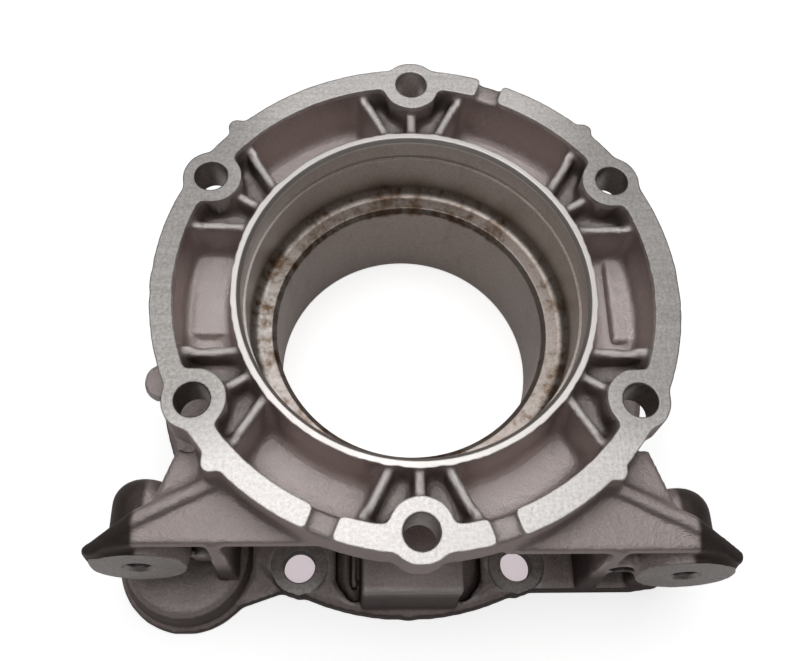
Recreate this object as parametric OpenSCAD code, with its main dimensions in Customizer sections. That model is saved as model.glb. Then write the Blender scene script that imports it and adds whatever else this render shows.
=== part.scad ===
// Tail housing of a gearbox: one casting, machined on its joint faces, bores and pads.
// The bore axis is Z, the rear joint face is at z = 0, the six-bolt joint face is at the top.
// The two mounting pads face -Y, which is down when the housing is fitted.

/* [Whole] */
// distance between the two joint faces
housing_height = 80; // [76:1:90]
// thickness of the rear flange
rear_thickness = 8; // [6:0.5:11]
// outer radius of the rear flange
rear_radius = 92.7; // [91:0.1:96]
// bevel round the upper edge of the rear flange
rear_bevel = 2.4; // [1:0.1:4]
// outer radius of the barrel between the flanges
barrel_radius = 57; // [54:0.5:60]
// fillet between the barrel and the rear flange
foot_fillet = 4; // [2:0.5:6]

/* [Front flange] */
// outer radius of the front flange
flange_radius = 86.4; // [85:0.2:88.4]
// how far the cast rim of the front flange sits to the right of the bore axis
flange_shift = 0.6; // [0:0.1:1]
// thickness of the lip of the front flange
flange_thickness = 16; // [14:0.5:18]
// inner radius of the bolt ring at the joint face
ring_inner_radius = 78.8; // [77:0.2:80]
// radius of the circle of bolt centres
bolt_circle_radius = 80; // [78:0.5:81.5]
// number of front bolts
bolt_count = 6; // [6]
// angle of the first bolt
bolt_start = 30; // [30]
// diameter of a front bolt hole
bolt_hole = 11; // [9:0.5:12]
// radius of a bolt boss
boss_radius = 10; // [9:0.25:11]
// distance of a boss centre inside the bolt circle
boss_inset = 0.5; // [0:0.25:1]
// gap between a bolt boss and the wall of the room for its bolt head
head_gap = 1.2; // [1:0.1:1.8]
// depth of the bolt seats cut into the underside of the lip
head_seat = 0.6; // [0.4:0.2:1.6]
// depth of the three scallops across the bolt ring
scallop_depth = 2.4; // [1:0.2:4]
// width of the three scallops
scallop_width = 8.4; // [6:0.2:10]
// how far a nub stands out of the flange rim
nub_height = 3; // [1.5:0.5:4]

/* [Collar and bore] */
// outer radius of the collar at its rim
collar_radius = 60.3; // [60:0.1:61]
// how far the collar rim stays below the joint face
collar_drop = 2.6; // [1:0.2:4]
// radius of the mouth of the bore
mouth_radius = 57.3; // [57:0.1:58]
// bevel at the mouth of the bore
mouth_bevel = 1.2; // [0.6:0.1:1.4]
// depth of the mouth below the joint face
mouth_depth = 13.4; // [10:0.2:18]
// radius of the middle bore
seat_radius = 56.2; // [54:0.1:56.8]
// depth of the ledge below the joint face
ledge_depth = 35.6; // [30:0.2:40]
// radius of the rear bore
rear_bore_radius = 47.2; // [44:0.1:49]
// fillet between the middle bore and the ledge
ledge_fillet = 3.6; // [2:0.2:5]
// bevel of the inner edge of the ledge
ledge_bevel = 1.6; // [0.8:0.1:2.4]
// bevel at the rear end of the bore
rear_bore_bevel = 1; // [0.5:0.1:2]

/* [Pockets and ribs] */
// depth of the large pockets below the joint face
pocket_depth = 23; // [20:0.5:25]
// fillet round the floor of the pockets
pocket_fillet = 5; // [3:0.5:6]
// how much wider a pocket wall stands at the joint face than at its floor
pocket_draft = 1; // [0.5:0.1:1.4]
// depth of the small pockets beside a boss
small_pocket_depth = 12; // [10:0.5:14]
// how far the rib tops stay below the joint face
rib_drop = 3.6; // [3:0.2:5]
// thickness of the pocket ribs along their tops
rib_thickness = 3.2; // [2.6:0.2:4]
// how much thicker the pocket ribs are at their feet
rib_draft = 2.4; // [1:0.2:3]
// length of the widened outer end of the side ribs
rib_end_length = 6; // [4:0.5:8]
// angle between a boss and the outer end of its side ribs
rib_outer_angle = 13.2; // [12:0.2:15]
// angle between a boss and the inner end of its side ribs
rib_inner_angle = 7.6; // [6:0.2:9]
// height of the raised panels in the left and right pockets
panel_height = 2.6; // [1:0.2:4]
// length of the raised panels
panel_length = 35; // [30:1:38]
// distance of the outer edge of the left panel from the bore axis
left_panel_edge = 75; // [73:0.5:77]
// distance of the inner edge of the right panel from the bore axis
right_panel_edge = 68.4; // [66:0.2:70]

/* [Arms] */
// distance of the mounting pads from the middle of the housing
pad_distance = 87.2; // [84:0.2:90]
// distance of the left pad centre below the bore axis
left_pad_drop = 82.4; // [81:0.2:84.6]
// distance of the right pad centre below the bore axis
right_pad_drop = 86; // [84.4:0.2:88]
// height of the pad centres above the rear joint face
pad_level = 42.5; // [40:0.5:46]
// lean of the pads towards the front flange
pad_lean = 3; // [0:0.5:5]
// radius of the left pad
left_pad_radius = 14.8; // [13:0.2:15.6]
// radius of the right pad
right_pad_radius = 15.6; // [14:0.2:15.8]
// how much wider the boss behind a pad is than the pad
pad_flare = 1.2; // [0.6:0.2:1.4]
// thickness of the pad before it steps down to the boss behind it
pad_thickness = 7.2; // [5:0.2:10]
// length of the pad boss
pad_boss_length = 27.5; // [24:0.5:30]
// radius of the left pad boss behind the pad
left_boss_radius = 10.6; // [10:0.1:12]
// radius of the right pad boss behind the pad
right_boss_radius = 11.2; // [10:0.1:12]
// rounding of the rear end of the pad bosses
pad_boss_round = 8; // [4:0.5:9]
// diameter of the threaded hole in a pad
pad_thread = 8.5; // [6.8:0.1:10.2]
// depth of the threaded hole in a pad
pad_thread_depth = 22; // [15:1:23]
// diameter of the countersink of the threaded hole
pad_sink = 10.8; // [10.4:0.1:12]
// distance of the locating hole from the right pad centre
locator_distance = 20.4; // [20.4:0.2:22]
// how far the face of the locating hole lies behind the right pad
locator_step = 2.2; // [1:0.2:3]
// diameter of the locating hole
locator_hole = 8; // [6:0.1:8.2]
// depth of the locating hole
locator_depth = 11; // [8:1:14]
// depth of the arm web below the joint face
web_depth = 14; // [12:0.5:15.5]
// thickness of the arm web
web_thickness = 5; // [4:0.5:7]
// thickness of the upper wall of an arm
wall_thickness = 4.6; // [4:0.2:6]
// how far the upper wall stands above the web
wall_rise = 2.2; // [1:0.2:3]
// distance of the open edge of the left arm below the bore axis
left_arm_edge = 80.2; // [79:0.2:81.2]
// distance of the open edge of the right arm below the bore axis
right_arm_edge = 82.8; // [81:0.2:84]
// distance of the wing tips from the middle
arm_reach = 103.5; // [101:0.5:106]
// how far the outer part of an arm slopes down to the wing tip
arm_slope = 13; // [9:0.5:16]
// thickness of the inner ribs of the arms
arm_rib = 4; // [3:0.5:5]
// how much thicker the inner ribs are at their feet
arm_rib_draft = 3.6; // [2:0.2:5]
// distance of the inner ribs from the middle
arm_rib_distance = 62; // [60:0.5:64]
// distance of the rib under the right pad from the middle
pad_rib_distance = 79.2; // [77:0.2:81]
// radius of the rough stub between the left pad and the inner rib
stub_radius = 4.6; // [4:0.2:5.4]

/* [Rear flange details] */
// distance of the straight lower edge of the rear flange below the bore axis
plate_edge = 83.8; // [82:0.2:86]
// thickness of the plate under the left arm
left_plate_thickness = 5; // [4:0.5:7]
// half the spacing of the rear bolts across
rear_bolt_x = 38.2; // [36:0.2:40]
// half the spacing of the rear bolts up and down
rear_bolt_y = 75.6; // [74:0.2:77]
// diameter of a rear bolt hole
rear_bolt_hole = 11; // [9:0.5:12]
// diameter of the spot face round a rear bolt hole
spot_diameter = 19.6; // [18:0.2:21]
// depth of the spot face
spot_depth = 0.8; // [0.4:0.2:1.6]
// half the width of the recess at the bottom
recess_half_width = 25; // [23:0.5:27]
// depth of the recess
recess_depth = 5; // [2:0.5:6]
// how far up the sloping corners of the recess reach
recess_corner = 11.6; // [8:0.2:14]
// half the width of the block in the recess
block_half_width = 16.5; // [14:0.5:18]
// height of the block above the rear joint face
block_height = 36; // [28:1:42]
// distance of the front of the block below the bore axis
block_edge = 89.8; // [87:0.2:91]
// level of the top of the low rib beside the block
low_rib_level = 7.6; // [5:0.2:8.6]
// radius of the cup at its foot
cup_radius = 24.5; // [23:0.5:26]
// height of the cup
cup_height = 15; // [12:0.5:18]
// rounding of the rim of the cup
cup_round = 4; // [2:0.5:5]
// radius of the side lug
lug_radius = 6.5; // [5:0.1:8]
// level of the top of the side lug
lug_level = 50; // [48:1:56]
// thickness of the side lug
lug_thickness = 5; // [4:1:12]
// thickness of the radial ribs behind the front flange
back_rib = 5; // [4:0.5:7]

/* [Show] */
// which piece to build

/* [Hidden] */
$fn = 96;
// overlap that joins two pieces of one casting
lap = 1;
// how far a cutter runs past the surface it cuts
past = 1;
// levels above the rear joint face
top = housing_height;
lip_level = top - flange_thickness;
floor_level = top - pocket_depth;
small_floor = top - small_pocket_depth;
rib_level = top - rib_drop;
web_level = top - web_depth;
web_bottom = web_level - web_thickness;
ledge_level = top - ledge_depth;
collar_level = top - collar_drop;
// underside of the pocket floors, and the foot of the cone below it
under_level = floor_level - 6;
cone_level = under_level - 16;
// what stands below the bore axis joins the barrel at this distance from it
under_barrel = barrel_radius - 3;
// the rooms for the front bolt heads go down to this level
room_level = 36;
boss_circle = bolt_circle_radius - boss_inset;
head_room = boss_radius + boss_inset + head_gap;
// the rim of the front flange is cast a little smaller than the lip above it
rim_radius = flange_radius - 2;
// bolt angles, nub angles and scallop angles of the front flange
bolt_angles = [for (i = [0 : bolt_count - 1]) bolt_start + i * 360 / bolt_count];
nub_angles = [45, 136, 224, 314];
scallop_angles = [70, 249.5, 287.5];
back_rib_angles = [0, 60, 120, 180];
// middles of the raised panels, up and down
left_panel_middle = 6.8;
right_panel_middle = 5.8;
// place of the face of the stub
stub_place = [-68, -78, 33];
// places of the cup and of the side lug
cup_place = [-76.8, -72.2];
lug_place = [-84, -22.7];
// points of an arm, measured up from its open edge: the wing tip, the end of the upper wall
// at the front flange, and the shoulder from which the web slopes down to the wing tip
arm_tip = [arm_reach, 1.2];
arm_root = [54.7, 24.8];
shoulder = [86.3, 10.6];
tip_level = web_level - arm_slope;
tip_bottom = tip_level - 9;

// a point from its radius and angle
function around(r, a) = [r * cos(a), r * sin(a)];

// points of an arc about a centre, from one angle to another
function corner(x, y, r, from, to) = [for (i = [0 : 4]) [x, y] + around(r, from + (to - from) * i / 4)];

// the outline of the front joint face without its inner opening
module flange_outline() {
    translate([flange_shift, 0])
        circle(flange_radius);
    for (a = bolt_angles)
        rotate(a)
            translate([boss_circle, 0])
                circle(boss_radius);
    for (a = nub_angles)
        polygon([
            around(rim_radius, a - 4),
            around(flange_radius + nub_height, a - 1),
            around(flange_radius + nub_height - 0.6, a + 1),
            around(rim_radius, a + 2.5)
        ]);
}

// barrel, cone and front flange lip
module shell() {
    core_radius = rear_bore_radius - lap;
    rotate_extrude()
        polygon([
            [core_radius, 0],
            [barrel_radius + foot_fillet, 0],
            each corner(barrel_radius + foot_fillet, rear_thickness + foot_fillet, foot_fillet, 270, 180),
            [barrel_radius, cone_level],
            [barrel_radius + 8, under_level - 5],
            [rim_radius - 4, under_level],
            [rim_radius, lip_level],
            [rim_radius, lip_level + lap],
            [core_radius, lip_level + lap]
        ]);
    translate([0, 0, lip_level])
        linear_extrude(flange_thickness)
            flange_outline();
}

// a round plate with plates under the arms and a recess at the bottom, where a block stands
module rear_flange() {
    difference() {
        union() {
            rotate_extrude()
                polygon([
                    [0, 0],
                    [rear_radius, 0],
                    [rear_radius, rear_thickness - rear_bevel],
                    [rear_radius - rear_bevel, rear_thickness],
                    [0, rear_thickness]
                ]);
            linear_extrude(rear_thickness)
                right_plate();
            linear_extrude(left_plate_thickness)
                left_plate();
        }
        translate([0, 0, rear_thickness - recess_depth])
            linear_extrude(recess_depth + past)
                recess_outline();
    }
    block();
    low_rib();
}

module block() {
    translate([-block_half_width, -block_edge, 0])
        cube([2 * block_half_width, block_edge - under_barrel, block_height]);
}

// the low rib on the floor of the recess, left of the block
module low_rib() {
    width = 2.2;
    gap = 1.6;
    translate([-block_half_width - gap - width, -plate_edge + lap, 0])
        cube([width, plate_edge - lap - under_barrel, low_rib_level]);
}

// the corner that the rear flange fills out under the right arm
module right_plate() {
    inner = barrel_radius - 16;
    polygon([
        [inner, -plate_edge],
        [80, -plate_edge],
        [90, -plate_edge + 1.3],
        [95, -76],
        [60, -58],
        [inner, -60]
    ]);
}

// the corner that it fills out under the left arm, thinner and with a longer edge
module left_plate() {
    inner = barrel_radius - 16;
    polygon([
        [-inner - 2, -plate_edge + 0.6],
        [-58, -plate_edge - 4.4],
        [-90, -plate_edge + 1.3],
        [-97, -76.8],
        [-60, -58],
        [-inner, -60]
    ]);
}

// the recess follows the rim of the rear flange, with a sloping corner at each side
module recess_outline() {
    side = recess_half_width;
    bottom = -rear_radius;
    upper = -barrel_radius + lap;
    cut = 0.75 * recess_corner;
    intersection() {
        circle(rear_radius - rear_bevel - 1);
        polygon([
            [-side, upper],
            [-side, bottom + recess_corner],
            [cut - side, bottom],
            [side - cut, bottom],
            [side, bottom + recess_corner],
            [side, upper]
        ]);
    }
}

// the round cup under the left arm
module cup() {
    wall = cup_radius - 2.6;
    foot = 3;
    translate([cup_place.x, cup_place.y, 0])
        rotate_extrude() {
            polygon([
                [0, 0],
                [cup_radius, 0],
                [cup_radius, foot],
                [cup_radius - 2, foot + 1.5],
                [wall, cup_height - cup_round],
                [wall - cup_round, cup_height],
                [0, cup_height]
            ]);
            translate([wall - cup_round, cup_height - cup_round])
                circle(cup_round);
        }
}

// the side lug, a short round eye on a narrower bridge to the cone
module lug() {
    bridge = 1.5 * lug_radius;
    start = barrel_radius + lap;
    translate([lug_place.x, lug_place.y, lug_level - lug_thickness])
        cylinder(r = lug_radius, h = lug_thickness);
    translate([0, 0, lug_level - lug_thickness])
        rotate(atan2(lug_place.y, lug_place.x))
            translate([start, -bridge / 2, 0])
                cube([norm(lug_place) - start, bridge, lug_thickness - 1]);
}

// one arm, drawn on the right side
module arm(edge, drop, radius, boss) {
    translate([0, -edge, 0]) {
        web();
        web_slope();
        upper_wall();
        gusset();
        inner_rib();
    }
    pad_boss(drop, radius, boss);
}

// the level part of the arm web
module web() {
    translate([0, 0, web_bottom])
        linear_extrude(web_thickness)
            polygon([[25, 0], [shoulder.x, 0], shoulder, [65.5, 20.6], [50, 21.8]]);
}

// the outer part of the web, down to the wing tip
module web_slope() {
    intersection() {
        rotate([90, 0, 0])
            mirror([0, 0, 1])
                linear_extrude(shoulder.y + 4)
                    polygon([
                        [shoulder.x - lap, web_bottom],
                        [shoulder.x - lap, web_level],
                        [shoulder.x, web_level],
                        [arm_tip.x, tip_level],
                        [arm_tip.x, tip_bottom],
                        [shoulder.x, web_bottom - 4]
                    ]);
        linear_extrude(top)
            polygon([
                [shoulder.x - 2 * lap, 0],
                [arm_tip.x - 1, 0],
                arm_tip,
                [shoulder.x - 2 * lap, shoulder.y + 1]
            ]);
    }
}

// the wall along the upper edge of an arm: its plan, less what lies outside its front view
module upper_wall() {
    rim_level = web_level + wall_rise;
    along = (arm_tip - arm_root) / norm(arm_tip - arm_root);
    inward = [along.y, -along.x] * wall_thickness;
    intersection() {
        linear_extrude(top)
            polygon([arm_tip, arm_root, arm_root + inward, arm_tip + inward]);
        translate([0, arm_root.y + 5, 0])
            rotate([90, 0, 0])
                linear_extrude(arm_root.y + 15)
                    polygon([
                        [40, 0],
                        [84, 0],
                        [97, 30],
                        [arm_tip.x, tip_bottom],
                        [arm_tip.x, tip_level + wall_rise],
                        [shoulder.x, rim_level],
                        [40, rim_level]
                    ]);
    }
}

// gusset between the front flange and the upper wall
module gusset() {
    translate([0, 0, web_bottom - 1])
        linear_extrude(web_thickness)
            polygon([[68, 41.8], [73, 35.3], [77.5, 22.8], [82, 10.8], [70, 15.8], [58, 21.8]]);
}

// the rib that ties the open edge of the web to the rear flange, thicker at its foot
module inner_rib() {
    long = 22;
    front = 1.2;
    translate([arm_rib_distance, long - front, 0])
        standing_rib(long, web_level - lap);
}

// a rib that stands on the rear flange, from its far end towards -Y
module standing_rib(long, tall) {
    foot = (arm_rib + arm_rib_draft) / 2;
    rotate([90, 0, 0])
        linear_extrude(long)
            polygon([[-foot, 0], [foot, 0], [arm_rib / 2, tall], [-arm_rib / 2, tall]]);
}

// the rib that carries the right pad boss
module pad_rib() {
    long = 20.4;
    front = plate_edge - 0.8;
    translate([pad_rib_distance, long - front, 0])
        standing_rib(long, pad_level - right_pad_radius / 2);
}

// a short rough stub between the left pad and the inner rib
module stub() {
    long = 8;
    translate([stub_place.x, stub_place.y + long, stub_place.z])
        rotate([90, 0, 0])
            cylinder(r = stub_radius, h = long);
}

// puts its children on a pad centre with +Z pointing out of the pad
module on_pad(drop) {
    translate([pad_distance, -drop, pad_level])
        rotate([90 - pad_lean, 0, 0])
            children();
}

// the pad, the boss behind it and the rounded end of the boss
module pad_boss(drop, radius, boss) {
    wide_radius = radius + pad_flare;
    cone = 4;
    flat = boss - pad_boss_round;
    on_pad(drop) {
        translate([0, 0, -cone])
            cylinder(r1 = wide_radius, r2 = radius, h = cone);
        translate([0, 0, -pad_thickness])
            cylinder(r = wide_radius, h = pad_thickness - cone + 0.01);
        translate([0, 0, -pad_boss_length])
            rotate_extrude() {
                square([flat, pad_boss_length - cone]);
                translate([0, pad_boss_round])
                    square([boss, pad_boss_length - cone - pad_boss_round]);
                translate([flat, pad_boss_round])
                    intersection() {
                        circle(pad_boss_round);
                        translate([-flat, -pad_boss_round])
                            square([boss, 2 * pad_boss_round]);
                    }
            }
    }
}

// boss of the locating hole beside the right pad
module locator_boss() {
    boss = 15;
    on_pad(right_pad_drop)
        translate([-locator_distance, 0, -locator_step - boss])
            cylinder(r = locator_hole / 2 + 2, h = boss);
}

// the ring pocket between collar and bolt ring, less all that stands in it
module ring_pockets() {
    difference() {
        rotate_extrude()
            ring_pocket_section();
        for (a = bolt_angles)
            rotate(a)
                boss_group();
        panels();
    }
}

// the cross section of the ring pocket
module ring_pocket_section() {
    low_inner = collar_radius + pocket_draft;
    low_outer = ring_inner_radius - pocket_draft;
    polygon([
        [low_inner, floor_level + pocket_fillet],
        [low_outer, floor_level + pocket_fillet],
        [ring_inner_radius, top + past],
        [collar_radius, top + past]
    ]);
    translate([low_inner + pocket_fillet, floor_level])
        square([low_outer - low_inner - 2 * pocket_fillet, pocket_fillet + 0.01]);
    for (x = [low_inner + pocket_fillet, low_outer - pocket_fillet])
        translate([x, floor_level + pocket_fillet])
            circle(pocket_fillet);
}

// boss, ribs and raised floor at one bolt, drawn at angle 0
module boss_group() {
    base = floor_level - 2;
    inner = collar_radius - 2;
    outer = ring_inner_radius + 2;
    translate([0, 0, base])
        linear_extrude(small_floor - base)
            polygon([
                around(inner, rib_inner_angle),
                around(outer, rib_outer_angle),
                around(outer, -rib_outer_angle),
                around(inner, -rib_inner_angle)
            ]);
    for (side = [-1, 1]) {
        rib(around(inner, side * rib_inner_angle), around(outer, side * rib_outer_angle), base);
        rib_end(side * rib_outer_angle, base);
    }
    rib([inner, 0], [boss_circle, 0], base);
    translate([boss_circle, 0, base])
        cylinder(r = boss_radius, h = top + 2 * past - base);
}

// a straight pocket rib between two points, thicker at its foot
module rib(from, to, base) {
    run = to - from;
    tall = rib_level - base;
    foot = (rib_thickness + rib_draft) / 2;
    translate([from.x, from.y, base])
        rotate([90, 0, atan2(run.y, run.x) + 90])
            linear_extrude(norm(run))
                polygon([[-foot, 0], [foot, 0], [rib_thickness / 2, tall], [-rib_thickness / 2, tall]]);
}

// the widened outer end of a side rib, a little higher than the rib
module rib_end(angle, base) {
    inner = ring_inner_radius - rib_end_length;
    outer = ring_inner_radius + 2;
    wide = 0.8 * rib_thickness;
    rotate(angle)
        translate([0, 0, base])
            linear_extrude(rib_level + lap - base)
                polygon([[inner, 0], [outer, -wide], [outer, wide]]);
}

// the raised panels on the floors of the left and right pockets
module panels() {
    left_inner = barrel_radius + lap;
    right_outer = ring_inner_radius + 2;
    translate([-left_panel_edge, left_panel_middle - panel_length / 2, floor_level - lap])
        cube([left_panel_edge - left_inner, panel_length, panel_height + lap]);
    translate([right_panel_edge, right_panel_middle - panel_length / 2, floor_level - lap])
        cube([right_outer - right_panel_edge, panel_length, panel_height + lap]);
}

// ribs behind the front flange
module back_ribs() {
    root = barrel_radius - 3;
    for (a = back_rib_angles)
        rotate(a)
            translate([0, back_rib / 2, 0])
                rotate([90, 0, 0])
                    linear_extrude(back_rib)
                        polygon([
                            [root, 2],
                            [rear_radius - 8, rear_thickness - 2],
                            [rim_radius - 6, under_level + 2],
                            [root, under_level + 2]
                        ]);
}

// the bore from the mouth to the rear face
module bore() {
    rotate_extrude()
        difference() {
            bore_section();
            // the fillet at the ledge stays in the casting
            fillet_corner(seat_radius, ledge_level, ledge_fillet);
        }
}

// half of the bore's section, drawn as the room it cuts
module bore_section() {
    rim_radius = collar_radius + 0.2;
    seat_level = top - mouth_depth;
    polygon([
        [0, -past],
        [rear_bore_radius + rear_bore_bevel + past, -past],
        [rear_bore_radius, rear_bore_bevel],
        [rear_bore_radius, ledge_level - ledge_bevel],
        [rear_bore_radius + ledge_bevel, ledge_level],
        [seat_radius, ledge_level],
        [seat_radius, seat_level],
        [mouth_radius, seat_level],
        [mouth_radius, collar_level - mouth_bevel],
        [mouth_radius + mouth_bevel, collar_level],
        [rim_radius, collar_level],
        [rim_radius, top + past],
        [0, top + past]
    ]);
}

// the piece between a fillet and the sharp corner below it at the outside
module fillet_corner(x, y, r) {
    difference() {
        translate([x - r, y - past])
            square([r + past, r + past]);
        translate([x - r, y + r])
            circle(r);
    }
}

// front bolt holes with the rooms for the bolt heads behind them
module front_bolt_holes() {
    for (a = bolt_angles)
        rotate(a)
            translate([bolt_circle_radius, 0, 0]) {
                translate([0, 0, lip_level - past])
                    cylinder(d = bolt_hole, h = flange_thickness + 2 * past);
                translate([0, 0, room_level])
                    cylinder(r = head_room, h = lip_level + head_seat - room_level);
            }
}

module rear_bolt_holes() {
    for (x = [-rear_bolt_x, rear_bolt_x], y = [-rear_bolt_y, rear_bolt_y])
        translate([x, y, 0]) {
            translate([0, 0, -past])
                cylinder(d = rear_bolt_hole, h = rear_thickness + 2 * past);
            translate([0, 0, rear_thickness - spot_depth])
                cylinder(d = spot_diameter, h = spot_depth + 6);
        }
}

// the threaded hole of a pad, its countersink and the cut that faces the pad flat
module pad_hole(drop, radius) {
    sink_depth = (pad_sink - pad_thread) / 2;
    on_pad(drop) {
        translate([0, 0, -pad_thread_depth])
            cylinder(d = pad_thread, h = pad_thread_depth + past);
        translate([0, 0, -sink_depth])
            cylinder(d1 = pad_thread, d2 = pad_sink + 2 * past, h = sink_depth + past);
        cylinder(r = radius + pad_flare + 4, h = 6);
    }
}

// the locating hole beside the right pad
module locating_hole() {
    on_pad(right_pad_drop)
        translate([-locator_distance, 0, -locator_step - locator_depth])
            cylinder(d = locator_hole, h = locator_depth + locator_step + past);
}

module scallops() {
    for (a = scallop_angles)
        rotate(a)
            translate([ring_inner_radius - 4, -scallop_width / 2, top - scallop_depth])
                cube([20, scallop_width, scallop_depth + past]);
}

module tail_housing() {
    color("silver")
        difference() {
            union() {
                shell();
                rear_flange();
                cup();
                lug();
                back_ribs();
                arm(right_arm_edge, right_pad_drop, right_pad_radius, right_boss_radius);
                mirror([1, 0, 0])
                    arm(left_arm_edge, left_pad_drop, left_pad_radius, left_boss_radius);
                locator_boss();
                pad_rib();
                stub();
            }
            ring_pockets();
            bore();
            front_bolt_holes();
            rear_bolt_holes();
            pad_hole(right_pad_drop, right_pad_radius);
            mirror([1, 0, 0])
                pad_hole(left_pad_drop, left_pad_radius);
            locating_hole();
            scallops();
        }
}

tail_housing();
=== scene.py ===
import math

import bpy
import numpy as np
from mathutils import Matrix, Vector
from mathutils.bvhtree import BVHTree


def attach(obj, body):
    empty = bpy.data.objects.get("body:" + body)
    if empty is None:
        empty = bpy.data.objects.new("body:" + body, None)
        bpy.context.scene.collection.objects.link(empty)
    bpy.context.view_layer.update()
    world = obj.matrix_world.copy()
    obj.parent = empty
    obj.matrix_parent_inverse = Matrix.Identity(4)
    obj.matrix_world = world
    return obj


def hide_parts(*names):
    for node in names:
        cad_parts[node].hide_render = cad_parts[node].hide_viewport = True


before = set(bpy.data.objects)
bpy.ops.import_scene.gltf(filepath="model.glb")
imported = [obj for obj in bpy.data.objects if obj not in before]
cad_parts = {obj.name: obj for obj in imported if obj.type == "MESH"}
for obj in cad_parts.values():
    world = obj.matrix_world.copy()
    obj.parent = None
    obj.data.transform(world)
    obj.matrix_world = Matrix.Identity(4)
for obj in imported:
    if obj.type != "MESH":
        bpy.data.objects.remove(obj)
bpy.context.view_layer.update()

# The camera stands in front of the bolt flange, a little below the bore axis, and looks down at it.
shot = {
    "place": (-0.0218, -0.1474, 0.3825),
    "turn": (28.86, -2.88, 0.57),
    "lens": 46.26,
    "shift": -0.1245,
}
cameraData = bpy.data.cameras.new("camera")
cameraData.sensor_width = 36.0
cameraData.lens = shot["lens"]
cameraData.shift_y = shot["shift"]
cameraData.clip_start = 0.01
cameraData.clip_end = 20.0
camera = bpy.data.objects.new("camera", cameraData)
camera.rotation_mode = "ZYX"
camera.rotation_euler = [math.radians(a) for a in shot["turn"]]
camera.location = shot["place"]
bpy.context.collection.objects.link(camera)
bpy.context.scene.camera = camera

# Sizes of the machined features, in millimetres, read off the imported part.
part = {
    "top": 80.0,
    "collarLevel": 77.4,
    "collarRadius": 60.3,
    "mouth": (57.3, 66.6, 1.2),
    "seat": (56.2, 44.4, 3.6),
    "rearBore": (47.2, 1.6, 1.0),
    "frontHoles": (80.0, 5.5, 64.6),
    "rearHoles": (38.2, 75.6, 5.5, 9.8, 7.2),
    "padAxis": (0.0, -0.99863, 0.05234),
    "pads": ((-87.2, -82.4, 42.5, 14.8), (87.2, -86.0, 42.5, 15.6)),
    "thread": (4.25, 22.0, 1.15),
    "locator": (66.8, -83.803, 42.385, 4.0, 11.0),
}
boltAngles = [math.radians(30 + 60 * i) for i in range(6)]


def boltPlaces():
    circle = part["frontHoles"][0]
    return [(circle * math.cos(a), circle * math.sin(a)) for a in boltAngles]


def rearPlaces():
    x, y = part["rearHoles"][:2]
    return [(sx * x, sy * y) for sx in (-1, 1) for sy in (-1, 1)]


# The casting is grown as a block of small cells, so that its corners can be rounded
# the way a mould rounds them. Sizes are in millimetres.
growth = {
    "low": (-108.0, -101.0, -4.0),
    "high": (109.0, 98.0, 84.0),
    "step": ((0.9, 2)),  # cell, and rays across a cell
    "outerRound": (0.75, 0.5),  # blur, and the level that counts as metal
    "innerRound": (2.5, 0.57, 1.6),  # blur, level and weight
    "triangles": 150000,
}


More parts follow.
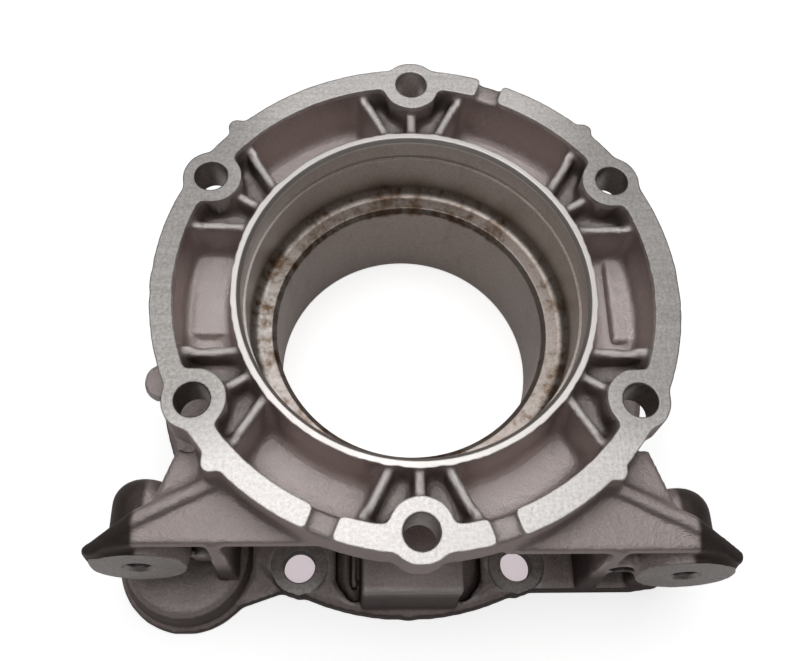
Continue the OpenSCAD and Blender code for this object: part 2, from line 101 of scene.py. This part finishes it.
class Cells:
    def __init__(self, low, high, step):
        self.step = step
        self.low = np.array(low, float)
        self.count = np.ceil((np.array(high) - self.low) / step).astype(int)
        axes = [self.low[i] + step * (np.arange(self.count[i]) + 0.5) for i in range(3)]
        self.x = axes[0][:, None, None].astype(np.float32)
        self.y = axes[1][None, :, None].astype(np.float32)
        self.z = axes[2][None, None, :].astype(np.float32)
        self.zs = axes[2]
        self.fill = np.zeros(self.count, np.float32)

    def load(self, mesh, split):
        points = np.empty(len(mesh.vertices) * 3, np.float32)
        mesh.vertices.foreach_get("co", points)
        points = (points.reshape(-1, 3) * 1000).tolist()
        tree = BVHTree.FromPolygons(points, [tuple(p.vertices) for p in mesh.polygons])
        nx, ny, nz = self.count
        fine = self.step / split
        start = self.low[2] + nz * self.step + 2.0
        down = Vector((0, 0, -1))
        hits = []
        for i in range(nx * split):
            x = self.low[0] + (i + 0.5) * fine + 0.0131
            for j in range(ny * split):
                y = self.low[1] + (j + 0.5) * fine + 0.0173
                origin = Vector((x, y, start))
                while True:
                    place, normal, _, _ = tree.ray_cast(origin, down)
                    if place is None:
                        break
                    if abs(normal.z) > 1e-4:
                        side = -1.0 if normal.z > 0 else 1.0
                        hits.append((i // split, j // split, place.z, side))
                    origin = place + down * 0.002
        hits = np.array(hits)
        ix, iy = hits[:, 0].astype(int), hits[:, 1].astype(int)
        where = (hits[:, 2] - self.low[2]) / self.step
        k = np.clip(np.floor(where).astype(int), 0, nz - 2)
        over = where - k
        grown = np.zeros((nx, ny, nz + 1))
        weight = hits[:, 3] / split**2
        np.add.at(grown, (ix, iy, k), weight * (1 - over))
        np.add.at(grown, (ix, iy, k + 1), weight * over)
        self.fill = np.clip(np.cumsum(grown, axis=2)[:, :, :nz], 0, 1).astype(np.float32)

    def layer(self, z):
        return self.fill[:, :, int((z - self.low[2]) / self.step)].copy()

    def spread(self, z0, z1, layer):
        rows = (self.zs > z0) & (self.zs < z1)
        self.fill[:, :, rows] = layer[:, :, None]

    def add(self, inside):
        self.fill = np.where(inside, 1.0, self.fill).astype(np.float32)

    def disc(self, x, y, radius, z0, z1):
        self.add(((self.x - x) ** 2 + (self.y - y) ** 2 < radius**2) & (self.z > z0) & (self.z < z1))

    def along(self, centre, axis, radius, d0, d1):
        dx, dy, dz = self.x - centre[0], self.y - centre[1], self.z - centre[2]
        d = dx * axis[0] + dy * axis[1] + dz * axis[2]
        far = dx * dx + dy * dy + dz * dz - d * d
        self.add((far < radius**2) & (d > d0) & (d < d1))

    def blurred(self, sigma):
        reach = int(math.ceil(3 * sigma / self.step))
        taps = np.exp(-0.5 * (np.arange(-reach, reach + 1) * self.step / sigma) ** 2)
        taps /= taps.sum()
        out = self.fill
        for axis in range(3):
            pad = [(0, 0)] * 3
            pad[axis] = (reach, reach)
            wide = np.pad(out, pad)
            size = out.shape[axis]
            out = np.zeros_like(out)
            for n, tap in enumerate(taps):
                cut = [slice(None)] * 3
                cut[axis] = slice(n, n + size)
                out += np.float32(tap) * wide[tuple(cut)]
        return out


# One vertex in each cell that the surface passes through, and a square across each edge that it cuts.
def surface(field, low, step):
    inside = field > 0
    shape = np.array(field.shape) - 1
    total = np.zeros((*shape, 3), np.float32)
    count = np.zeros(shape, np.float32)
    crossings = []
    for axis in range(3):
        a = [slice(None)] * 3
        b = [slice(None)] * 3
        a[axis], b[axis] = slice(0, -1), slice(1, None)
        f0, f1 = field[tuple(a)], field[tuple(b)]
        cut = np.argwhere(inside[tuple(a)] != inside[tuple(b)])
        i, j, k = cut.T
        g0, g1 = f0[i, j, k], f1[i, j, k]
        place = cut.astype(np.float32)
        place[:, axis] += g0 / (g0 - g1)
        others = [n for n in range(3) if n != axis]
        for s in (0, 1):
            for t in (0, 1):
                cell = cut.copy()
                cell[:, others[0]] -= s
                cell[:, others[1]] -= t
                ok = ((cell >= 0) & (cell < shape)).all(1)
                c = cell[ok]
                np.add.at(total, (c[:, 0], c[:, 1], c[:, 2]), place[ok])
                np.add.at(count, (c[:, 0], c[:, 1], c[:, 2]), 1)
        crossings.append((axis, others, cut, g0 > 0))
    used = count > 0
    index = np.full(shape, -1, np.int64)
    index[used] = np.arange(used.sum())
    points = low + (total[used] / count[used][:, None] + 0.5) * step
    faces = []
    for axis, others, cut, outward in crossings:
        corners = []
        for s, t in ((1, 1), (0, 1), (0, 0), (1, 0)):
            cell = cut.copy()
            cell[:, others[0]] -= s
            cell[:, others[1]] -= t
            corners.append(index[cell[:, 0], cell[:, 1], cell[:, 2]])
        quad = np.stack(corners, 1)
        turn = outward if axis != 1 else ~outward
        quad[~turn] = quad[~turn][:, ::-1]
        faces.append(quad)
    return points, np.concatenate(faces)


def meshFrom(name, points, faces):
    mesh = bpy.data.meshes.new(name)
    mesh.vertices.add(len(points))
    mesh.vertices.foreach_set("co", np.asarray(points, np.float32).ravel())
    width = faces.shape[1]
    mesh.loops.add(faces.size)
    mesh.loops.foreach_set("vertex_index", faces.astype(np.int32).ravel())
    mesh.polygons.add(len(faces))
    mesh.polygons.foreach_set("loop_start", np.arange(0, faces.size, width, dtype=np.int32))
    mesh.update(calc_edges=True)
    mesh.validate()
    return mesh


# A closed body of revolution about an axis; the outline runs from the axis out and back to it.
def turned(name, outline, centre=(0, 0, 0), axis=(0, 0, 1), segments=96):
    radius = np.array([r for r, _ in outline])
    along = np.array([z for _, z in outline])
    angle = 2 * math.pi * np.arange(segments) / segments
    ring = np.zeros((len(outline), segments, 3))
    ring[:, :, 0] = radius[:, None] * np.cos(angle)
    ring[:, :, 1] = radius[:, None] * np.sin(angle)
    ring[:, :, 2] = along[:, None]
    points = ring.reshape(-1, 3)
    rows = len(outline)
    faces = []
    for r in range(rows - 1):
        inner, outer = r * segments, (r + 1) * segments
        for s in range(segments):
            n = (s + 1) % segments
            faces.append((inner + s, inner + n, outer + n, outer + s))
    bottom = tuple(range(segments))[::-1]
    last = tuple((rows - 1) * segments + s for s in range(segments))
    turn = Vector((0, 0, 1)).rotation_difference(Vector(axis)).to_matrix()
    points = [(turn @ Vector(p) + Vector(centre)) * 0.001 for p in points]
    mesh = bpy.data.meshes.new(name)
    mesh.from_pydata(points, [], [*faces, bottom, last])
    mesh.update()
    return bpy.data.objects.new(name, mesh)


def block(name, low, high):
    pairs = list(zip(low, high))
    corners = [(x, y, z) for x in pairs[0] for y in pairs[1] for z in pairs[2]]
    sides = [(0, 1, 3, 2), (4, 6, 7, 5), (0, 4, 5, 1), (2, 3, 7, 6), (0, 2, 6, 4), (1, 5, 7, 3)]
    mesh = bpy.data.meshes.new(name)
    mesh.from_pydata([Vector(c) * 0.001 for c in corners], [], sides)
    mesh.update()
    return bpy.data.objects.new(name, mesh)


def arc(x, y, radius, start, end, steps):
    angles = [math.radians(start + (end - start) * i / steps) for i in range(steps + 1)]
    return [(x + radius * math.cos(a), y + radius * math.sin(a)) for a in angles]


def growCasting():
    step, split = growth["step"]
    cells = Cells(growth["low"], growth["high"], step)
    cells.load(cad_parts["tail_housing"].data, split)
    top = part["top"]
    cells.spread(top - 0.8, top + 3.0, cells.layer(top - 1.4))
    cells.spread(-3.0, 1.0, cells.layer(1.8))
    for x, y in boltPlaces():
        cells.disc(x, y, 7.4, part["frontHoles"][2], top + 3.0)
    for x, y in rearPlaces():
        cells.disc(x, y, part["rearHoles"][3], -3.0, 8.0)
    axis = part["padAxis"]
    for x, y, z, radius in part["pads"]:
        cells.along((x, y, z), axis, radius, -6.0, 1.8)
        cells.along((x, y, z), axis, 7.0, -24.0, 0.0)
    x, y, z, radius, depth = part["locator"]
    cells.along((x, y, z), axis, radius + 1.0, -depth - 1.0, 0.0)
    cells.disc(0, 0, part["collarRadius"], -3.0, part["collarLevel"] + 2.4)
    print("cells", cells.fill.shape)
    blur, level = growth["outerRound"]
    tight = cells.blurred(blur) - level
    blur, level, weight = growth["innerRound"]
    wide = (cells.blurred(blur) - level) * weight
    field = np.maximum(tight, wide)
    points, faces = surface(field, cells.low, step)
    print("skin", len(points), len(faces))
    mesh = meshFrom("castHousing", points * 0.001, faces)
    return bpy.data.objects.new("castHousing", mesh)


def drills():
    top = part["top"]
    tools = {"milled": [], "turned": []}
    tools["milled"].append(block("faceMill", (-130, -130, top), (130, 130, top + 12)))
    tools["milled"].append(block("rearMill", (-130, -130, -12), (130, 130, 0)))
    mouth, mouthFoot, mouthBevel = part["mouth"]
    seat, ledge, fillet = part["seat"]
    rear, ledgeBevel, rearBevel = part["rearBore"]
    rim = part["collarLevel"]
    outline = [
        (rear + rearBevel + 1, -1),
        (rear, rearBevel),
        (rear, ledge - ledgeBevel),
        (rear + ledgeBevel, ledge),
        *arc(seat - fillet, ledge + fillet, fillet, -90, 0, 8),
        (seat, mouthFoot),
        (mouth, mouthFoot),
        (mouth, rim - mouthBevel),
        (mouth + mouthBevel, rim),
        (part["collarRadius"] + 0.9, rim),
        (part["collarRadius"] + 0.9, rim + 9),
    ]
    tools["turned"].append(turned("boringBar", outline, segments=240))
    hole, seatLevel = part["frontHoles"][1:]
    for x, y in boltPlaces():
        outline = [(hole, seatLevel - 8), (hole, top - 0.3)]
        outline += [(hole + 0.4, top + 0.1), (hole + 0.4, top + 4)]
        tools["milled"].append(turned("drill", outline, centre=(x, y, 0), segments=64))
    hole, spot, level = part["rearHoles"][2:]
    for x, y in rearPlaces():
        outline = [(hole, -6), (hole, level), (spot, level), (spot, level + 6)]
        tools["milled"].append(turned("drill", outline, centre=(x, y, 0), segments=64))
    thread, depth, sink = part["thread"]
    for x, y, z, radius in part["pads"]:
        outline = [(0.05, -depth - 1.5), (thread, -depth), (thread, -sink), (thread + sink, 0)]
        outline += [(radius + 4, 0), (radius + 4, 5)]
        tools["milled"].append(turned("drill", outline, (x, y, z), part["padAxis"], 96))
    x, y, z, radius, depth = part["locator"]
    outline = [(radius, -depth), (radius, 0.8)]
    tools["milled"].append(turned("drill", outline, (x, y, z), part["padAxis"], 64))
    return tools


def cut(body, tool):
    bpy.context.collection.objects.link(tool)
    modifier = body.modifiers.new("cut", "BOOLEAN")
    modifier.operation = "DIFFERENCE"
    modifier.solver = "MANIFOLD"
    modifier.material_mode = "TRANSFER"
    modifier.object = tool
    settle(body)
    bpy.data.objects.remove(tool)


def settle(body):
    graph = bpy.context.evaluated_depsgraph_get()
    graph.update()
    mesh = bpy.data.meshes.new_from_object(body.evaluated_get(graph))
    old = body.data
    body.modifiers.clear()
    body.data = mesh
    bpy.data.meshes.remove(old)


casting = growCasting()
bpy.context.collection.objects.link(casting)
thin = casting.modifiers.new("thin", "DECIMATE")
thin.ratio = min(1.0, growth["triangles"] / (2 * len(casting.data.polygons)))
settle(casting)
print("thinned", len(casting.data.polygons))


# A shader value that can be added and multiplied like a number.
class Wire:
    def __init__(self, tree, socket):
        self.tree = tree
        self.socket = socket

    def make(self, kind, *inputs, out=0, **settings):
        node = self.tree.nodes.new(kind)
        for name, value in settings.items():
            setattr(node, name, value)
        for slot, value in enumerate(inputs):
            key = slot
            if isinstance(value, tuple) and len(value) == 2:
                key, value = value
            if isinstance(value, Wire):
                self.tree.links.new(value.socket, node.inputs[key])
            else:
                node.inputs[key].default_value = value
        return None if out is None else Wire(self.tree, node.outputs[out])

    def maths(self, operation, *inputs):
        return self.make("ShaderNodeMath", *inputs, operation=operation)

    def __add__(self, other):
        return self.maths("ADD", self, other)

    __radd__ = __add__

    def __mul__(self, other):
        return self.maths("MULTIPLY", self, other)

    __rmul__ = __mul__

    def __sub__(self, other):
        return self.maths("SUBTRACT", self, other)

    def __rsub__(self, other):
        return self.maths("SUBTRACT", other, self)

    def __pow__(self, other):
        return self.maths("POWER", self, other)

    def __rpow__(self, other):
        return self.maths("POWER", other, self)

    def band(self, low, high, start=0.0, end=1.0):
        return self.make(
            "ShaderNodeMapRange",
            self,
            low,
            high,
            start,
            end,
            interpolation_type="SMOOTHSTEP",
        )

    def size(self):
        return self.maths("ABSOLUTE", self)

    def parts(self):
        node = self.make("ShaderNodeSeparateXYZ", self).socket.node
        return [Wire(self.tree, socket) for socket in node.outputs]

    def scaled(self, factors):
        return self.make("ShaderNodeVectorMath", self, factors, operation="MULTIPLY")

    def noise(self, scale, detail=3.0, rough=0.5):
        return self.make(
            "ShaderNodeTexNoise",
            ("Vector", self),
            ("Scale", scale),
            ("Detail", detail),
            ("Roughness", rough),
        )

    # The second shader for what the camera sees, the first for all other rays.
    def shown(self, first, second):
        return self.make(
            "ShaderNodeMixShader",
            self.make("ShaderNodeLightPath", out="Is Camera Ray"),
            first,
            second,
        )

    def mixed(self, first, second):
        return self.make(
            "ShaderNodeMix",
            ("Factor", self),
            (6, first),
            (7, second),
            out=2,
            data_type="RGBA",
        )


def newMaterial(name, finished=True):
    material = bpy.data.materials.new(name)
    material.use_nodes = True
    tree = material.node_tree
    tree.nodes.clear()
    place = Wire(tree, None).make("ShaderNodeTexCoord", out=3)
    shader = place.make("ShaderNodeBsdfPrincipled")
    if finished:
        place.make("ShaderNodeOutputMaterial", shader, out=None)
    return material, shader, place


def feed(shader, **values):
    for name, value in values.items():
        socket = shader.socket.node.inputs[name.replace("_", " ")]
        if isinstance(value, Wire):
            value.tree.links.new(value.socket, socket)
        else:
            socket.default_value = value


# Fine relief over edges that are broken by the given radius.
def bumped(height, strength, distance, radius):
    broken = height.make("ShaderNodeBevel", ("Radius", radius), samples=6)
    return height.make(
        "ShaderNodeBump",
        ("Strength", strength),
        ("Distance", distance),
        ("Height", height),
        ("Normal", broken),
    )


# Shot-blasted casting skin: warm grey and grainy, with painted light on the ring-pocket floors and upper
# faces, painted shade in creases and low down, painted highlights (partly edge wear) on sharp edges and
# just below the flange face, and a little random dirt.
def castSkin():
    look = {
        "light": (0.58, 0.50, 0.48, 1),
        "dark": (0.40, 0.33, 0.315, 1),
        "paleAndPaintedLight": (0.98, 0.91, 0.88, 1),
        "upper": (0.74, 0.65, 0.63, 1),
        "darkBrown": (0.125, 0.098, 0.092, 1),
        "wearAndPaintedHighlight": (0.95, 0.91, 0.88, 1),
    }
    material, shader, place = newMaterial("castSkin")
    x, y, z = place.parts()
    faceZ = place.make("ShaderNodeNewGeometry", out=1).parts()[2]
    radius = (x * x + y * y) ** 0.5
    cloud = place.noise(42, 4, 0.6)
    blot = place.noise(95, 4, 0.65)
    grain = place.noise(950, 4, 0.8)
    fine = place.noise(2600, 2, 0.6)
    pits = place.noise(430, 3, 0.6)
    edge = place.make("ShaderNodeNewGeometry", out=7)
    tone = (cloud * 0.7 + grain * 1.0 - 0.35).band(0.25, 0.75)
    tone = tone.mixed(look["dark"], look["light"])
    # painted light: upward faces of the ring-pocket floors are mixed towards a near-white tone
    pocket = radius.band(0.0590, 0.0610) * radius.band(0.0800, 0.0780) * z.band(0.050, 0.056)
    patchy = (blot * 0.6 + grain * 0.9 - 0.25).band(0.2, 0.7, 0.7, 1.0)
    paleAndPaintedLight = pocket * faceZ.band(0.55, 0.97) * patchy
    tone = paleAndPaintedLight.mixed(tone, look["paleAndPaintedLight"])
    # painted light and shade by height: faces above about 46 mm are mixed towards the lighter tone,
    # lower ones stay darker
    tone = z.band(0.026, 0.046, 0.0, 0.45).mixed(tone, look["upper"])
    # painted light: upward-facing faces below the flange are mixed towards the lighter tone
    patchy = (cloud * 0.4 + grain * 0.8 - 0.1).band(0.2, 0.7)
    upward = faceZ.band(0.35, 0.85) * z.band(0.062, 0.058) * patchy
    tone = (upward * 0.75).mixed(tone, look["upper"])
    # painted shade in creases (from the occlusion node) and on low side faces, darker by the wing tips,
    # and a little random dirt (rest)
    hollow = place.make("ShaderNodeAmbientOcclusion", ("Distance", 0.009), out=1, samples=4)
    wing = x.size().band(0.0845, 0.0875) * y.band(-0.050, -0.060) * z.band(0.025, 0.032)
    low = z.band(0.046, 0.024) * faceZ.band(0.75, 0.35)
    rest = (blot * 0.9 - 0.25).band(0.05, 0.55)
    crease = (hollow + blot * 0.3).band(0.80, 0.45)
    shadeAndDirt = (wing * 1.05 + low * 0.75 + rest * 0.12 + crease * 0.95).band(0.0, 1.0)
    tone = shadeAndDirt.mixed(tone, look["darkBrown"])
    # painted highlight along sharp edges (pointiness) and just below the flange face, partly edge wear
    patchy = (blot * 0.8 + grain * 0.5).band(0.45, 0.75, 0.25, 1.0)
    lip = z.band(0.0768, 0.0790) * radius.band(0.0865, 0.0855) * patchy
    outside = radius.band(0.083, 0.085) * z.band(0.052, 0.058)
    wearAndPaintedHighlight = (edge.band(0.508, 0.555) * (1 - outside) + lip).band(0.0, 1.0) * (1 - low)
    feed(
        shader,
        Base_Color=(wearAndPaintedHighlight * 0.8).mixed(tone, look["wearAndPaintedHighlight"]),
        Metallic=0.86,
        Roughness=(cloud * 0.14 + grain * 0.12 + 0.33),
        Normal=bumped(grain * 0.6 + fine * 0.35 + pits * 0.8, 0.8, 0.0005, 0.0011),
    )
    return material


# Face-milled joint faces: bright, with faint curved cutter marks, and painted shade on the lower milled
# faces and the flange face's lower sides.
def milled():
    look = {
        "bright": (0.90, 0.87, 0.85, 1),
        "dull": (0.62, 0.59, 0.57, 1),
        "side": (0.33, 0.315, 0.30, 1),
        "sideLight": (0.54, 0.515, 0.495, 1),
    }
    material, shader, place = newMaterial("milled")
    x, y, height = place.parts()
    marks = place.scaled((26, 420, 60)).noise(1.0, 4, 0.6)
    scratch = place.scaled((900, 120, 200)).noise(1.0, 2, 0.5)
    cloud = place.noise(38, 4, 0.6)
    grain = place.noise(900, 4, 0.8)
    speck = place.noise(480, 3, 0.65)
    mottle = (cloud * 0.5 + marks * 0.6 + grain * 1.9 - 1.0).band(0.15, 0.85)
    tone = mottle.mixed(look["dull"], look["bright"])
    # painted shade: the lower milled faces, and the flange face's lower sides, most on the left, take a
    # darker copy of the tone
    shade = mottle.mixed(look["side"], look["sideLight"])
    side = x.size().band(0.036, 0.068) * y.band(-0.064, -0.038) * x.band(0.03, -0.03, 0.85, 1.0)
    tone = (side + height.band(0.066, 0.058, 0.0, 0.75)).mixed(tone, shade)
    feed(
        shader,
        Base_Color=tone,
        Metallic=1.0,
        Roughness=(cloud * 0.16 + marks * 0.14 + grain * 0.12 + 0.20),
        Normal=bumped(marks * 0.5 + scratch * 0.3 + speck * 0.3 + grain * 0.35, 0.6, 0.00025, 0.0007),
    )
    return material


# Bored surfaces: fine turning rings, pale flecks, the brown of old oil on the ledge and above it, a
# brighter band just below the mouth, and painted light on the bore's left side.
def turnedBore():
    look = {
        "metal": (0.49, 0.425, 0.385, 1),
        "paleAndPaintedLight": (0.84, 0.80, 0.77, 1),
        "darkBrown": (0.20, 0.125, 0.075, 1),
    }
    material, shader, place = newMaterial("turned")
    x, y, height = place.parts()
    rings = height.make("ShaderNodeCombineXYZ", 0.0, 0.0, height).noise(2600, 3, 0.7)
    cloud = place.noise(34, 4, 0.65)
    streak = place.scaled((1, 1, 0.22)).noise(70, 4, 0.65)
    speck = place.noise(260, 4, 0.6)
    grain = place.noise(1100, 3, 0.65)
    rim = height.band(0.0745, 0.0765)
    ledge = height.band(0.036, 0.043) * height.band(0.060, 0.046)
    darkBrown = (ledge * (cloud * 0.9 + speck * 0.6)).band(0.62, 0.95, 0.0, 0.85)
    seat = (streak * 0.7 + speck * 0.35).band(0.5, 0.8, 0.0, 0.4) * (1 - rim)
    # painted light on the bore's left side, and a brighter band just below the mouth
    bright = (rim + x.band(-0.030, -0.055, 0.0, 0.5)).band(0.0, 1.0)
    tone = bright.mixed(look["metal"], look["paleAndPaintedLight"])
    tone = grain.band(0.35, 0.7, 0.0, 0.3).mixed(tone, look["paleAndPaintedLight"])
    feed(
        shader,
        Base_Color=(darkBrown + seat).band(0.0, 1.0).mixed(tone, look["darkBrown"]),
        Metallic=0.9,
        Roughness=(cloud * 0.2 + speck * 0.12 + 0.22),
        Normal=bumped(rings * 0.5 + speck * 0.25 + grain * 0.3, 0.4, 0.00015, 0.0006),
    )
    return material


# White paper for the camera, with painted shadow spots under two holes of the rear flange; the metal
# mirrors the bench as the lamps light it.
def benchTop():
    look = {
        "paper": (1.0, 1.0, 1.0, 1),
        "under": (0.75, 0.66, 0.69, 1),
        "far": (1.4, 1.4, 1.4, 1),
        "shadowSpots": [(-0.0382, -0.0756), (0.0382, -0.0756)],  # under the two front holes of the rear flange
        "mirrored": (0.9, 0.87, 0.87, 1),
    }
    material, shader, place = newMaterial("bench", finished=False)
    x, y = place.parts()[:2]
    # painted shadow: a pinkish-grey disc on the paper under each of two holes of the rear flange
    spot = 0.0
    for across, along in look["shadowSpots"]:
        reach = ((x - across) ** 2 + (y - along) ** 2) ** 0.5
        spot = reach.band(0.0105, 0.0085) + spot
    seen = spot.band(0.0, 1.0).mixed(look["paper"], look["under"])
    distance = (x * x + y * y) ** 0.5
    feed(
        shader,
        Base_Color=seen,
        Emission_Color=distance.band(0.4, 2.0).mixed(seen, look["far"]),
        Emission_Strength=0.72,
        Roughness=0.9,
    )
    mirrored = place.make("ShaderNodeBsdfDiffuse", look["mirrored"])
    place.make("ShaderNodeOutputMaterial", place.shown(mirrored, shader), out=None)
    return material


looks = {"cast": castSkin(), "milled": milled(), "turned": turnedBore()}
print("finishes", [material.name for material in looks.values()])
casting.data.materials.append(looks["cast"])
for kind, tools in drills().items():
    for tool in tools:
        tool.data.materials.append(looks[kind])
        cut(casting, tool)
print("machined", len(casting.data.polygons), [m.name for m in casting.data.materials])
bpy.context.view_layer.objects.active = casting
casting.data.polygons.foreach_set("use_smooth", [True] * len(casting.data.polygons))
casting.data.set_sharp_from_angle(angle=math.radians(32))
evened = casting.modifiers.new("evened", "WEIGHTED_NORMAL")
evened.keep_sharp = True
settle(casting)
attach(casting, "root")
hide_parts("tail_housing")

reach = 6
floorCorners = [(-reach, -reach, 0), (reach, -reach, 0), (reach, reach, 0), (-reach, reach, 0)]
floorMesh = bpy.data.meshes.new("floor")
floorMesh.from_pydata(floorCorners, [], [(0, 1, 2, 3)])
floor = bpy.data.objects.new("floor", floorMesh)
floor.location.z = -0.0002
bpy.context.collection.objects.link(floor)
floor.data.materials.append(benchTop())


# Each lamp: place, point it aims at, width and depth, and power in watts.
lamps = {
    "ceiling": ((0, 0.2, 1.35), (0, 0.18, 0.05), (2.0, 1.9), 5.5),
    "overhead": ((-0.09, 0.15, 1.15), (0, 0, 0.05), (0.75, 0.5), 2.0),
    "behind": ((0, 0.85, 1.1), (0, 0, 0.05), (1.6, 0.35), 0.9),
}
for name, (place, aim, size, power) in lamps.items():
    data = bpy.data.lights.new(name, "AREA")
    data.shape = "RECTANGLE"
    data.size, data.size_y = size
    data.energy = power
    lamp = bpy.data.objects.new(name, data)
    lamp.location = place
    lamp.rotation_euler = (Vector(aim) - Vector(place)).to_track_quat("-Z", "Y").to_euler()
    bpy.context.collection.objects.link(lamp)
print("lamps", list(lamps))

# Colour and strength of what the camera sees behind the bench, and of the dim room.
surround = {"paper": ((1, 1, 1, 1), 1.0), "room": ((1.0, 0.96, 0.94, 1), 0.06)}
world = bpy.data.worlds.new("world")
bpy.context.scene.world = world
world.use_nodes = True
world.node_tree.nodes.clear()
sky = Wire(world.node_tree, None)
paper = sky.make("ShaderNodeBackground", *surround["paper"])
room = sky.make("ShaderNodeBackground", *surround["room"])
sky.make("ShaderNodeOutputWorld", sky.shown(room, paper), out=None)
bpy.context.scene.view_settings.view_transform = "Standard"
